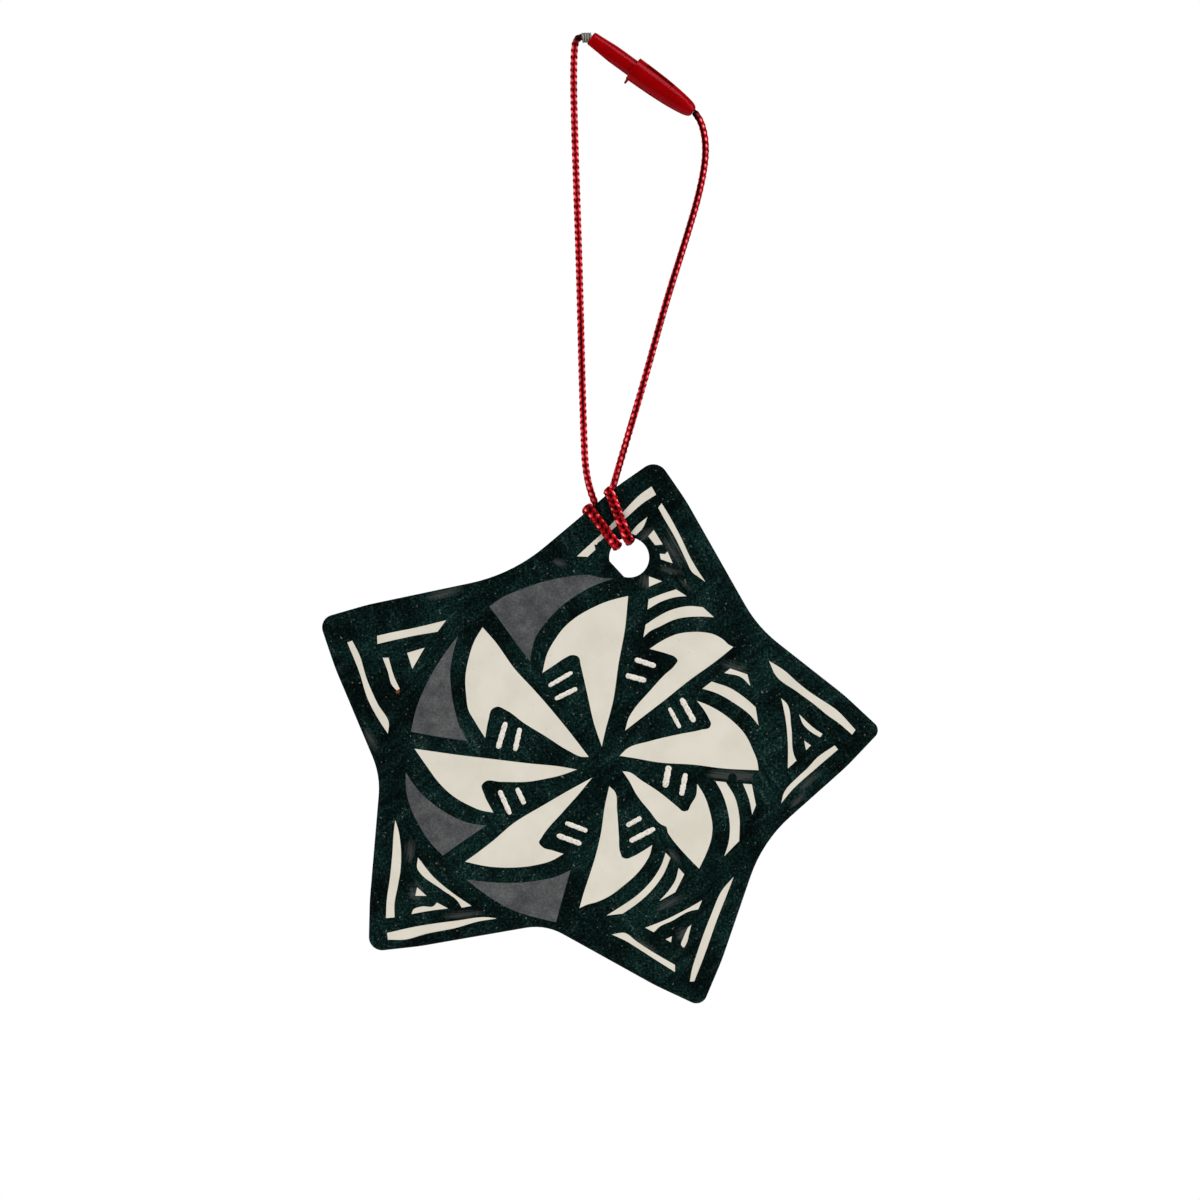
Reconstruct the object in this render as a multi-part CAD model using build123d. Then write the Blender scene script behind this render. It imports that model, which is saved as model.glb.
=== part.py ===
from build123d import *
import math
import os

os.makedirs("parts", exist_ok=True)

# Painted clay star hung from a braided cord loop with a two-part snap lock.
# Sizes are in millimetres and degrees. The hook that carries the loop is the origin.
# X runs to the right, Y away from the viewer and Z up. The painted face looks towards -Y.

# Clay star: one slab, cut by hand, so each point and notch has its own reach and turn
star_thickness = 5.0
star_centre_x = 0.4
star_drop = 95.2                # hook down to the star's centre
star_lean = 76.4                # angle of the top point from +X
point_count = 5
tip_reach = 40.7                # centre to a sharp point, before wear and rounding
notch_reach = 26.7              # centre to a sharp notch, before rounding
tip_extra_reach = [1.0, 0.2, -2.2, -0.3, 0.3]
tip_extra_turn = [0.0, -0.1, 2.1, 2.3, 5.0]
notch_extra_reach = [2.0, 0.0, -2.9, 1.1, -0.75]
notch_extra_turn = [-4.4, 4.9, 0.5, 2.0, 0.0]
tip_rounding = [2.0, 1.2, 1.5, 1.8, 1.7]
tip_wear = [0.95, 0.9, 0.75, 0.7, 0.8]  # how far each sharp point is worn back
shoulder_back = 7.5             # sharp point back to where its two edges bend in towards the worn one
shoulder_rounding = 30.0
notch_rounding = [17.5, 19.0, 7.5, 11.0, 23.0]
rim_rounding = 0.8              # softened edges of both faces

# Hanging hole, placed from the edge that runs from the last notch up to the top point
hole_diameter = 5.4
hole_inset = 8.42               # edge to the hole's centre
hole_along = 13.54              # notch to the hole's centre, along the edge
hole_softening = 0.4            # rounded rims of the hole
hole_flat_reach = 2.28          # centre to the lump of clay that flattens one side
hole_flat_angle = -137.0        # direction of that lump from the centre

# Cord: round metallic braid
cord_diameter = 0.9
cord_clay_gap = 0.12            # cord to clay, all round the hitch
cord_crossing_gap = 0.45        # cord to cord where the hitch crosses itself
cord_seat_gap = 0.03            # cord end to the lock half that it is moulded into
edge_fold = 0.75                # length of cord spent on each side of a fold over clay

# Lark's head: along is counted from the notch, out is counted from the edge, both in the star's plane
left_wrap_along = 13.44         # left turn where it goes over the front of the edge
right_wrap_along = 17.19
left_leg_along = 12.54          # the same turns where they come down behind the edge
right_leg_along = 17.49
left_pass_angle = -6.0          # where each turn passes the hole, from the square to the edge
right_pass_angle = 45.0
bight_out = -3.3                # height of the bight behind the star
leg_out = -2.1                  # where the legs lift off the clay towards the bight
leg_lift = 0.45
bight_inset = 0.8               # how far the bight's corners stand in from its legs
left_throat = (14.64, 0.2)      # where each strand comes up past the edge, behind it
right_throat = (17.34, -0.15)
right_under_bight = (15.59, -2.6)
right_over_leg = (16.44, -0.95)
hitch_lead = 1.7                # hitch cord above each throat

# Snap lock, on one axis that falls to the right
lock_end = (1.115, 0.0, 1.116)  # middle of the plug's outer end
lock_fall = 35.9
plug_length = 6.9               # visible body of the plug
plug_end_diameter = 1.86
plug_swell_along = 3.6
plug_shoulder_diameter = 2.3    # from the swell to the shoulder
plug_end_rounding = 0.25
pin_diameter = 1.4
pin_length = 3.4
barb_diameter = 1.8
barb_length = 1.9
barb_point_diameter = 0.8
socket_length = 10.05
socket_mouth_diameter = 3.3
socket_waist_diameter = 2.98
socket_shoulder_diameter = 2.24
socket_tail_diameter = 1.2
socket_mouth_rounding = 0.12
socket_seat_gap = 0.1           # plug shoulder to socket mouth
barb_clearance = 0.08           # radial, barb in the socket's throat
socket_ledge_depth = 3.3        # mouth to the ledge that stops the barb
chamber_diameter = 2.3
chamber_end_gap = 0.4
socket_waist_along = 5.5        # mouth to the waist
socket_shoulder_along = 8.9     # mouth to where the tail turns in
socket_mouth_slope = (1, 0.02)  # along and out, at the mouth and at the tail
socket_tail_slope = (0.2, -1)
sprue_diameter = 0.5            # nub left by moulding under the socket's mouth
sprue_length = 0.7
sprue_along = 0.3
sprue_taper = 12.0
sprue_root = 0.3                # how far the nub is rooted in the wall

# Sleeve on the cord where it leaves the plug
sleeve_diameter = 1.5
sleeve_clearance = 0.05
sleeve_length = 1.25

# Route of the hanging cord, chosen by eye: the strands, then the neck where they near the star.
# Each strand gives way to its neck half way along the run between them.
left_strand_points = [
    (0.62, 0.0, 1.45), (-0.15, 0.0, 1.42), (-0.72, 0.0, 1.02), (-1.0, 0.0, 0.37), (-1.13, 0.0, -0.95),
    (-1.20, 0.15, -3.6), (-1.16, 0.37, -8.0), (-0.90, 0.84, -16.5), (-0.42, 1.45, -30.0),
    (-0.06, 2.18, -45.0),
]
left_neck_points = [(0.16, 2.57, -52.0), (0.38, 2.86, -57.4)]
right_strand_points = [
    (15.47, 0.0, -9.27), (16.25, 0.02, -10.9), (16.66, 0.10, -13.5), (16.42, 0.25, -16.6),
    (15.50, 0.50, -20.8), (13.80, 0.95, -26.5), (11.22, 1.65, -34.6), (8.37, 2.65, -45.0),
]
right_neck_points = [(6.28, 3.50, -52.0)]

cord_radius = cord_diameter / 2
half_thickness = star_thickness / 2
arc_share = 0.45                # share of a run that an arc may use at each end
gap_step = 0.1                  # spacing of the points that measure the hitch's gap to itself


# Star outline and the edge that carries the hitch

def polar_corner(reach, angle):
    turn = math.radians(angle)
    return Vector(star_centre_x + reach * math.cos(turn), -star_drop + reach * math.sin(turn))


def towards(start, goal, distance):
    return start + (goal - start).normalized() * distance


tips = []
notches = []
point_step = 360 / point_count
for number in range(point_count):
    tip_angle = star_lean - point_step * number
    notch_angle = tip_angle - point_step / 2
    tip_far = tip_reach + tip_extra_reach[number]
    notch_far = notch_reach + notch_extra_reach[number]
    tips.append(polar_corner(tip_far, tip_angle + tip_extra_turn[number]))
    notches.append(polar_corner(notch_far, notch_angle + notch_extra_turn[number]))

edge_start = notches[-1]
edge_direction = (tips[0] - edge_start).normalized()
edge_outward = Vector(-edge_direction.Y, edge_direction.X)


def edge_point(along, out, depth):
    flat = edge_start + edge_direction * along + edge_outward * out
    return Vector(flat.X, depth, flat.Y)


hole_middle = edge_start + edge_direction * hole_along - edge_outward * hole_inset


def make_star():
    corners = []
    roundings = []
    for number in range(point_count):
        tip = tips[number]
        last_shoulder = towards(tip, notches[number - 1], shoulder_back)
        next_shoulder = towards(tip, notches[number], shoulder_back)
        worn_tip = towards(tip, (last_shoulder + next_shoulder) / 2, tip_wear[number])
        corners += [last_shoulder, worn_tip, next_shoulder, notches[number]]
        roundings += [shoulder_rounding, tip_rounding[number], shoulder_rounding, notch_rounding[number]]
    with BuildPart() as star:
        with BuildSketch(Plane.XZ):
            with BuildLine():
                FilletPolyline(*corners, radius=roundings, close=True)
            make_face()
        extrude(amount=half_thickness, both=True)
        fillet(star.faces().sort_by(Axis.Y)[0].edges(), rim_rounding)
        fillet(star.faces().sort_by(Axis.Y)[-1].edges(), rim_rounding)
        flat_middle = hole_middle + Vector(hole_flat_reach, 0).rotate(Axis.Z, hole_flat_angle)
        with BuildSketch(Plane.XZ):
            with Locations(hole_middle):
                Circle(hole_diameter / 2)
            with Locations(flat_middle):
                Rectangle(
                    hole_diameter, hole_diameter, rotation=hole_flat_angle,
                    align=(Align.MIN, Align.CENTER), mode=Mode.SUBTRACT,
                )
        extrude(amount=half_thickness, both=True, mode=Mode.SUBTRACT)
        hole_edges = star.edges(Select.LAST)
        rims = hole_edges.filter_by(lambda edge: abs(abs(edge.center().Y) - half_thickness) < 1e-6)
        fillet(rims, hole_softening)
    return star.part


# Cord stretches

def corner_radii(points):
    radii = []
    for before, corner, after in zip(points, points[1:], points[2:]):
        half_turn = math.radians((corner - before).get_angle(after - corner)) / 2
        shorter = min((corner - before).length, (after - corner).length)
        radii.append(arc_share * shorter / math.tan(half_turn))
    return radii


def cord_path(points):
    return FilletPolyline(*points, radius=corner_radii(points)).wire()


def tube(path, radius):
    section = Plane(origin=path @ 0, z_dir=path % 0) * Circle(radius)
    return sweep(section, path=path)


def cord_tube(name, points):
    path = cord_path(points)
    solid = tube(path, cord_radius)
    expected = math.pi * cord_radius**2 * path.length
    radii = [round(radius, 2) for radius in corner_radii(points)]
    print(f"{name}: length {path.length:.2f}, volume share {solid.volume / expected:.4f}")
    print(f"{name}: radii {radii}")
    return solid


def least_self_gap(path):
    steps = int(path.length / gap_step)
    points = [path @ (step / steps) for step in range(steps + 1)]
    apart = int(3 * cord_diameter / gap_step)
    least = min(
        (points[low] - points[high]).length
        for low in range(steps)
        for high in range(low + apart, steps + 1)
    )
    return least - cord_diameter


# Lark's head: the left turn goes down behind the star, through the hole, up the front and over the edge.
# The bight crosses behind both strands, and the right turn mirrors the left one.
cord_lay = cord_radius + cord_clay_gap
front = -half_thickness - cord_lay
behind = half_thickness + cord_lay
second_layer = behind + cord_diameter + cord_crossing_gap


def pass_point(angle):
    reach = hole_diameter / 2 - cord_lay
    turn = math.radians(angle)
    return hole_along + reach * math.sin(turn), -hole_inset + reach * math.cos(turn)


left_pass = pass_point(left_pass_angle)
right_pass = pass_point(right_pass_angle)

left_turn = [
    (*left_throat, behind),
    (left_pass[0], left_pass[1] + edge_fold, behind),
    (*left_pass, behind - edge_fold),
    (*left_pass, front + edge_fold),
    (left_pass[0], left_pass[1] + edge_fold, front),
    (left_wrap_along, cord_lay - edge_fold, front),
    (left_wrap_along, cord_lay, front + edge_fold),
    (left_leg_along, cord_lay, behind - edge_fold),
    (left_leg_along, cord_lay - edge_fold, behind),
    (left_leg_along, leg_out, behind + leg_lift),
]
bight = [
    (left_leg_along + bight_inset, bight_out, second_layer),
    (right_leg_along - bight_inset, bight_out, second_layer),
]
right_turn = [
    (right_leg_along, leg_out, behind + leg_lift),
    (right_leg_along, cord_lay - edge_fold, behind),
    (right_leg_along, cord_lay, behind - edge_fold),
    (right_wrap_along, cord_lay, front + edge_fold),
    (right_wrap_along, cord_lay - edge_fold, front),
    (right_pass[0], right_pass[1] + edge_fold, front),
    (*right_pass, front + edge_fold),
    (*right_pass, behind - edge_fold),
    (right_pass[0], right_pass[1] + edge_fold, behind),
    (*right_under_bight, behind),
    (*right_over_leg, second_layer),
    (*right_throat, second_layer),
]

hitch_corners = [edge_point(*place) for place in left_turn + bight + right_turn]


left_strand_bends = [Vector(place) for place in left_strand_points]
left_neck_bends = [Vector(place) for place in left_neck_points]
right_strand_bends = [Vector(place) for place in right_strand_points]
right_neck_bends = [Vector(place) for place in right_neck_points]
left_neck_top = (left_strand_bends[-1] + left_neck_bends[0]) / 2
right_neck_top = (right_strand_bends[-1] + right_neck_bends[0]) / 2
left_hitch_top = towards(hitch_corners[0], left_neck_bends[-1], hitch_lead)
right_hitch_top = towards(hitch_corners[-1], right_neck_bends[-1], hitch_lead)
hitch_route = [left_hitch_top] + hitch_corners + [right_hitch_top]


# Snap lock, drawn along its axis from the plug's outer end

fall = math.radians(lock_fall)
lock_direction = Vector(math.cos(fall), 0, -math.sin(fall))
lock_plane = Plane(origin=lock_end, x_dir=lock_direction, z_dir=(0, -1, 0))
lock_axis = Axis(lock_end, lock_direction)
socket_mouth = plug_length + socket_seat_gap
socket_end = socket_mouth + socket_length
barb_start = plug_length + pin_length
barb_end = barb_start + barb_length


def lock_point(distance):
    return Vector(lock_end) + lock_direction * distance


def make_plug():
    with BuildPart() as plug:
        with BuildSketch(lock_plane):
            with BuildLine():
                Polyline(
                    (0, 0),
                    (0, plug_end_diameter / 2),
                    (plug_swell_along, plug_shoulder_diameter / 2),
                    (plug_length, plug_shoulder_diameter / 2),
                    (plug_length, pin_diameter / 2),
                    (barb_start, pin_diameter / 2),
                    (barb_start, barb_diameter / 2),
                    (barb_end, barb_point_diameter / 2),
                    (barb_end, 0),
                    close=True,
                )
            make_face()
        revolve(axis=lock_axis)
        end_face = plug.faces().sort_by(lock_axis)[0]
        fillet(end_face.edges(), plug_end_rounding)
    return plug.part


def make_socket():
    waist = socket_mouth + socket_waist_along
    shoulder = socket_mouth + socket_shoulder_along
    throat_radius = barb_diameter / 2 + barb_clearance
    ledge = socket_mouth + socket_ledge_depth
    chamber_end = barb_end + chamber_end_gap
    with BuildPart() as socket:
        with BuildSketch(lock_plane):
            with BuildLine():
                Line((socket_mouth, 0), (socket_mouth, socket_mouth_diameter / 2))
                Spline(
                    (socket_mouth, socket_mouth_diameter / 2),
                    (waist, socket_waist_diameter / 2),
                    (shoulder, socket_shoulder_diameter / 2),
                    (socket_end, socket_tail_diameter / 2),
                    tangents=(socket_mouth_slope, socket_tail_slope),
                )
                Line((socket_end, socket_tail_diameter / 2), (socket_end, 0))
                Line((socket_end, 0), (socket_mouth, 0))
            make_face()
        revolve(axis=lock_axis)
        mouth_rim = socket.edges().filter_by(GeomType.CIRCLE).sort_by(lock_axis)[0]
        fillet(mouth_rim, socket_mouth_rounding)
        with BuildSketch(lock_plane):
            with BuildLine():
                Polyline(
                    (socket_mouth, 0),
                    (socket_mouth, throat_radius),
                    (ledge, throat_radius),
                    (ledge, chamber_diameter / 2),
                    (chamber_end, chamber_diameter / 2),
                    (chamber_end, 0),
                    close=True,
                )
            make_face()
        revolve(axis=lock_axis, mode=Mode.SUBTRACT)
        root_height = sprue_root - socket_mouth_diameter / 2
        root = lock_plane.from_local_coords((socket_mouth + sprue_along, root_height, 0))
        with BuildSketch(Plane(origin=root, z_dir=-lock_plane.y_dir)):
            Circle(sprue_diameter / 2)
        extrude(amount=sprue_root + sprue_length, taper=sprue_taper)
    return socket.part


# Stretches of cord, from the lock's two ends down to the hitch

left_route = [lock_point(-cord_seat_gap)] + left_strand_bends + [left_neck_top]
right_route = [lock_point(socket_end + cord_seat_gap)] + right_strand_bends + [right_neck_top]
left_neck_route = [left_neck_top] + left_neck_bends + [left_hitch_top]
right_neck_route = [right_neck_top] + right_neck_bends + [right_hitch_top]


def make_sleeve():
    straight = (left_route[1] - left_route[0]).length
    mouth = towards(left_route[1], left_route[2], sleeve_length - straight)
    path = cord_path([left_route[0], left_route[1], mouth])
    return tube(path, sleeve_diameter / 2) - tube(path, cord_radius + sleeve_clearance)


left_neck = cord_tube("left side of cord_neck", left_neck_route)
right_neck = cord_tube("right side of cord_neck", right_neck_route)
nodes = {
    "star_body": make_star(),
    "cord_left_strand": cord_tube("cord_left_strand", left_route),
    "cord_right_strand": cord_tube("cord_right_strand", right_route),
    "cord_neck": Compound(children=[left_neck, right_neck]),
    "cord_hitch": cord_tube("cord_hitch", hitch_route),
    "cord_sleeve": make_sleeve(),
    "snap_plug": make_plug(),
    "snap_socket": make_socket(),
}
for name, shape in nodes.items():
    export_step(shape, f"parts/{name}.step")

tilt_point = edge_point((left_wrap_along + right_wrap_along) / 2, cord_lay, 0)
print(f"cord_hitch: least gap to itself {least_self_gap(cord_path(hitch_route)):.2f}")
print("lock axis", lock_end, lock_direction)
print("tilt axis over the edge", tilt_point, edge_point(1, 0, 0) - edge_point(0, 0, 0))
print("star centre of mass", nodes["star_body"].center(CenterOf.MASS))
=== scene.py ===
import bpy
import numpy as np
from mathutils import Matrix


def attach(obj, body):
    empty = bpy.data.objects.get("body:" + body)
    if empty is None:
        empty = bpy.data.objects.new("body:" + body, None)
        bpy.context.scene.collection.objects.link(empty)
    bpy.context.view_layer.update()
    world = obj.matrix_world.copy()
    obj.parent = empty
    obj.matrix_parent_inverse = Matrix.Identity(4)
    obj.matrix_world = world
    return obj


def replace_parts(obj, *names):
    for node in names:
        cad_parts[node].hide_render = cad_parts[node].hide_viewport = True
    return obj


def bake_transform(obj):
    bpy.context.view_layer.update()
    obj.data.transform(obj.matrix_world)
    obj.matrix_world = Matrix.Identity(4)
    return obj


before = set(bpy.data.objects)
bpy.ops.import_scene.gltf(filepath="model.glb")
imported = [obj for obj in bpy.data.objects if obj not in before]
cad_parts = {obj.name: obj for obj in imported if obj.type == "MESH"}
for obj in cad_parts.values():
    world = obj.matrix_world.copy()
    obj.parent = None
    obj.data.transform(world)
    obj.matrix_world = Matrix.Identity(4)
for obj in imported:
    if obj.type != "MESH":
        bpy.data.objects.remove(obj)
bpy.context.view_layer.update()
mm = 0.001
print("frame loaded")


# camera, straight on to the painted face

cameraView = dict(centreX=2.36, centreZ=-74.68, width=161.8, distance=1500.0)


def makeCamera(v):
    lens = bpy.data.cameras.new("lookingOn")
    lens.sensor_fit = "HORIZONTAL"
    lens.sensor_width = 36.0
    lens.lens = 36.0 * v["distance"] / v["width"]
    lens.clip_end = 20.0
    camera = bpy.data.objects.new("lookingOn", lens)
    camera.location = (v["centreX"] * mm, -v["distance"] * mm, v["centreZ"] * mm)
    camera.rotation_euler = (np.pi / 2, 0, 0)
    bpy.context.scene.collection.objects.link(camera)
    bpy.context.scene.camera = camera


makeCamera(cameraView)
bpy.context.scene.view_settings.view_transform = "Standard"
print("camera set")


# shared ways to make meshes and materials

def putMesh(name, verts, faces, materials, slots=None, smooth=True):
    mesh = bpy.data.meshes.new(name)
    mesh.from_pydata(np.asarray(verts) * mm, [], faces)
    for material in materials:
        mesh.materials.append(material)
    if slots is not None:
        mesh.polygons.foreach_set("material_index", np.asarray(slots, np.int32))
    mesh.polygons.foreach_set("use_smooth", np.full(len(mesh.polygons), smooth))
    mesh.validate()
    mesh.update()
    piece = bpy.data.objects.new(name, mesh)
    bpy.context.scene.collection.objects.link(piece)
    return piece


def putValues(piece, name, values):
    # one number for each point of the mesh, which its material reads by name
    layer = piece.data.attributes.new(name, "FLOAT", "POINT")
    layer.data.foreach_set("value", np.asarray(values, np.float32).ravel())


def gridFaces(rows, columns, first=0, ring=True):
    # quads between neighbouring points of a grid; ring joins the last column to the first
    row = np.arange(rows - 1)[:, None] * columns + first
    here = np.arange(columns if ring else columns - 1)[None, :]
    beside = (here + 1) % columns
    corners = (row + here, row + beside, row + columns + beside, row + columns + here)
    return np.stack(np.broadcast_arrays(*corners), -1).reshape(-1, 4).tolist()


def endCaps(rows, sides, first=0):
    # the first ring backwards and the last one forwards, so that both caps face out
    last = first + (rows - 1) * sides
    return [list(range(first, first + sides))[::-1], list(range(last, last + sides))]


def startMaterial(name, **sockets):
    material = bpy.data.materials.new(name)
    material.use_nodes = True
    tree = material.node_tree
    shader = tree.nodes["Principled BSDF"]
    for socket, value in sockets.items():
        shader.inputs[socket.replace("_", " ")].default_value = value
    place = tree.nodes.new("ShaderNodeTexCoord")
    scale = tree.nodes.new("ShaderNodeMapping")
    scale.inputs["Scale"].default_value = (1000, 1000, 1000)  # metres to millimetres
    tree.links.new(place.outputs["Object"], scale.inputs["Vector"])
    return material, tree, shader, scale.outputs["Vector"]


def addAttribute(tree, name):
    node = tree.nodes.new("ShaderNodeAttribute")
    node.attribute_name = name
    return node.outputs["Fac"]


def addNoise(tree, place, scale, detail=3.0, roughness=0.55, stretch=None, turn=0.0):
    if stretch:
        lean = tree.nodes.new("ShaderNodeMapping")
        lean.vector_type = "TEXTURE"  # turned first, then stretched
        lean.inputs["Scale"].default_value = stretch
        lean.inputs["Rotation"].default_value = (0, turn, 0)
        tree.links.new(place, lean.inputs["Vector"])
        place = lean.outputs["Vector"]
    noise = tree.nodes.new("ShaderNodeTexNoise")
    noise.inputs["Scale"].default_value = scale
    noise.inputs["Detail"].default_value = detail
    noise.inputs["Roughness"].default_value = roughness
    tree.links.new(place, noise.inputs["Vector"])
    return noise.outputs["Fac"]


def addRamp(tree, value, *stops):
    ramp = tree.nodes.new("ShaderNodeValToRGB")
    while len(ramp.color_ramp.elements) < len(stops):
        ramp.color_ramp.elements.new(0.5)
    for element, (position, colour) in zip(ramp.color_ramp.elements, stops):
        element.position = position
        element.color = (*colour, 1)
    tree.links.new(value, ramp.inputs["Fac"])
    return ramp.outputs["Color"]


def feed(tree, socket, value):
    # a link from another node, or a plain value
    if isinstance(value, bpy.types.NodeSocket):
        tree.links.new(value, socket)
    else:
        socket.default_value = value


def addMix(tree, factor, first, second, blend="MIX"):
    mix = tree.nodes.new("ShaderNodeMix")
    mix.data_type = "RGBA"
    mix.blend_type = blend
    feed(tree, mix.inputs[0], factor)
    for socket, colour in ((mix.inputs[6], first), (mix.inputs[7], second)):
        feed(tree, socket, (*colour, 1) if isinstance(colour, tuple) else colour)
    return mix.outputs[2]


def addMath(tree, operation, first, second):
    node = tree.nodes.new("ShaderNodeMath")
    node.operation = operation
    feed(tree, node.inputs[0], first)
    feed(tree, node.inputs[1], second)
    return node.outputs[0]


def addBump(tree, shader, height, strength, distance):
    bump = tree.nodes.new("ShaderNodeBump")
    bump.inputs["Strength"].default_value = strength
    bump.inputs["Distance"].default_value = distance * mm
    tree.links.new(height, bump.inputs["Height"])
    tree.links.new(bump.outputs["Normal"], shader.inputs["Normal"])


# braided cord: one route from the plug, down the left, round the hitch and up the right to the socket

cordRoute = dict(
    leftDown=[
        (1.09, 0, 1.134), (0.6, 0, 1.2), (-0.1, 0, 1.27), (-0.72, 0, 1.0), (-1.0, 0, 0.37),
        (-1.13, 0, -0.95), (-1.2, 0.15, -3.6), (-1.16, 0.37, -8.0), (-0.9, 0.84, -16.5),
        (-0.42, 1.45, -30.0), (-0.06, 2.18, -45.0), (0.16, 2.57, -52.0), (0.38, 2.86, -57.4),
    ],
    edgeStart=(-9.508, -71.225), edgeAlong=(0.765788, 0.643093),  # the star's edge under the hitch
    hitch=[  # along the star's edge, out from it, and depth
        (14.64, 0.2, 3.07), (13.31, -5.55, 3.07), (13.31, -6.3, 2.32), (13.31, -6.3, -2.2),
        (13.31, -5.55, -2.93), (13.63, -0.18, -2.93), (13.63, 0.4, -2.2), (13.4, 0.4, 2.2),
        (12.8, -0.18, 3.02), (12.54, -2.1, 3.52), (13.34, -3.3, 4.42), (16.69, -3.3, 4.42),
        (17.49, -2.1, 3.52), (17.49, -0.18, 3.02), (17.4, 0.4, 2.2), (17.15, 0.4, -2.2),
        (17.15, -0.18, -2.93), (15.05, -6.16, -2.93), (15.05, -6.91, -2.2), (15.05, -6.91, 2.32),
        (15.05, -6.16, 3.07), (15.59, -2.6, 3.07), (16.44, -0.95, 4.42), (17.34, -0.15, 4.42),
    ],
    rightUp=[
        (6.28, 3.5, -52.0), (8.37, 2.65, -45.0), (11.22, 1.65, -34.6), (13.8, 0.95, -26.5),
        (15.5, 0.5, -20.8), (16.42, 0.25, -16.6), (16.66, 0.1, -13.5), (16.25, 0.02, -10.9),
        (15.47, 0, -9.27), (14.95, 0, -8.9),
    ],
    cuts=dict(
        leftNeckTop=(0.05, 2.375, -48.5), leftHitchTop=(1.1, 2.99, -60.0),
        rightHitchTop=(4.37, 4.24, -58.55), rightNeckTop=(7.325, 3.075, -48.5),
    ),
    upperRight=16.0, step=0.065, diameter=0.9,
)
braidLook = dict(
    turn=3.5, dwell=0.6, tapes=4, middle=0.4, swing=0.05, core=0.35, profile=8, coreSides=12,
    bright=dict(
        halfWidth=0.205, halfThick=0.065, metal=0.12,
        # tones by how high a tape lies: pink-white at the top is a painted highlight, near black low down is
        # painted shade
        tones=[
            (0.1, (0.1, 0.0, 0.003)), (0.3, (0.72, 0.007, 0.02)), (0.7, (1.0, 0.03, 0.05)),
            (1.0, (1.0, 0.62, 0.62)),
        ],
    ),
    dark=dict(
        # a darker copy of the same red foil as painted shade, near black where it faces the viewer
        halfWidth=0.115, halfThick=0.045, metal=0.1,
        tones=[(0.1, (0.01, 0.0, 0.0005)), (0.7, (0.42, 0.002, 0.009))],
    ),
    # places on the cord, the turn of its dark diamonds of painted shade from the viewer, how far they join,
    # its rows' slant
    facing=[
        ((-1.16, 0.37, -8.0), 0, 0.0, 0.0), ((-0.45, 1.4, -28.8), 0, 0.0, 0.0),
        ((-0.33, 1.6, -33.0), 0, 0.1, 0.1), ((-0.22, 1.84, -38.0), 0, 0.6, 0.75),
        ((-0.06, 2.18, -45.0), 0, 0.6, 0.8), ((0.1, 2.46, -50.0), 0, 0.5, 0.8),
        ((0.24, 2.68, -54.0), 0, 0.0, 0.0), ((0.36, 2.84, -57.0), 0, 0.0, 0.0),
        ((2.85, -2.9, -64.9), 0, 0.4, 0.0), ((5.15, -2.9, -63.6), 0, 0.4, -0.6),
        ((8.37, 2.65, -45.0), -8, 0.6, 0.8), ((11.22, 1.65, -34.6), -14, 0.8, 0.6),
        ((13.8, 0.95, -26.5), -26, 0.95, 0.3), ((16.4, 0.25, -16.6), -30, 1.0, 0.5),
    ],
    # tapes that face the viewer squarely darken here into painted shade
    seam=(0.8, 0.92), diamond=(0.94, 0.995),  # how squarely a tape faces out where it darkens
    # the bright part of a tape is a painted highlight
    lengthen=0.6, narrow=0.45,  # how long and how slim the bright part of a tape is
    spread=0.5, press=0.25, skew=0.5, ease=1.2, leastAcross=0.3,  # how the hitch flattens on the clay
    clayDepth=(1.4, 2.4),  # depths between which it grows round again behind the clay
)


def edgePoint(v, along, out, depth):
    # so far along the star's edge, and so far out from it
    start, run = np.array(v["edgeStart"]), np.array(v["edgeAlong"])
    flat = start + run * along + np.array((-run[1], run[0])) * out
    return flat[0], depth, flat[1]


def readRoute(v):
    # points on the route's own spline, then evenly spaced by length
    points = v["leftDown"] + [edgePoint(v, *place) for place in v["hitch"]] + v["rightUp"]
    line = bpy.data.curves.new("cordRoute", "CURVE")
    line.dimensions = "3D"
    spline = line.splines.new("NURBS")
    spline.points.add(len(points) - 1)
    spline.points.foreach_set("co", np.column_stack((points, np.ones(len(points)))).ravel())
    spline.order_u = 3
    spline.use_endpoint_u = True
    spline.resolution_u = 64
    carrier = bpy.data.objects.new("cordRoute", line)
    bpy.context.scene.collection.objects.link(carrier)
    mesh = bpy.data.meshes.new_from_object(carrier)
    dense = np.zeros(len(mesh.vertices) * 3)
    mesh.vertices.foreach_get("co", dense)
    bpy.data.objects.remove(carrier)
    bpy.data.meshes.remove(mesh)
    dense = dense.reshape(-1, 3)
    dense = dense[np.r_[True, np.linalg.norm(np.diff(dense, axis=0), axis=1) > 1e-5]]  # no point twice
    reach = np.r_[0, np.cumsum(np.linalg.norm(np.diff(dense, axis=0), axis=1))]
    even = np.linspace(0, reach[-1], int(reach[-1] / v["step"]))
    return even, np.column_stack([np.interp(even, reach, dense[:, k]) for k in range(3)])


def nearestPoint(line, place):
    return int(np.argmin(np.linalg.norm(line - np.array(place), axis=1)))


def leastTurnFrames(line):
    # each frame starts from the axis most across the line;
    # the turn picked up from frame to frame is added up and undone
    ahead = np.gradient(line, axis=0)
    ahead /= np.linalg.norm(ahead, axis=1)[:, None]
    across = np.eye(3)[np.argmin(np.abs(ahead), axis=1)]
    across = across - (across * ahead).sum(1)[:, None] * ahead
    across /= np.linalg.norm(across, axis=1)[:, None]
    beside = np.cross(ahead, across)
    carried = across[:-1] - (across[:-1] * ahead[1:]).sum(1)[:, None] * ahead[1:]
    turn = np.arctan2((carried * beside[1:]).sum(1), (carried * across[1:]).sum(1))
    turn = np.r_[0, np.cumsum(turn)][:, None]
    straight = np.cos(turn) * across + np.sin(turn) * beside
    return ahead, straight, np.cos(turn) * beside - np.sin(turn) * across


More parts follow.
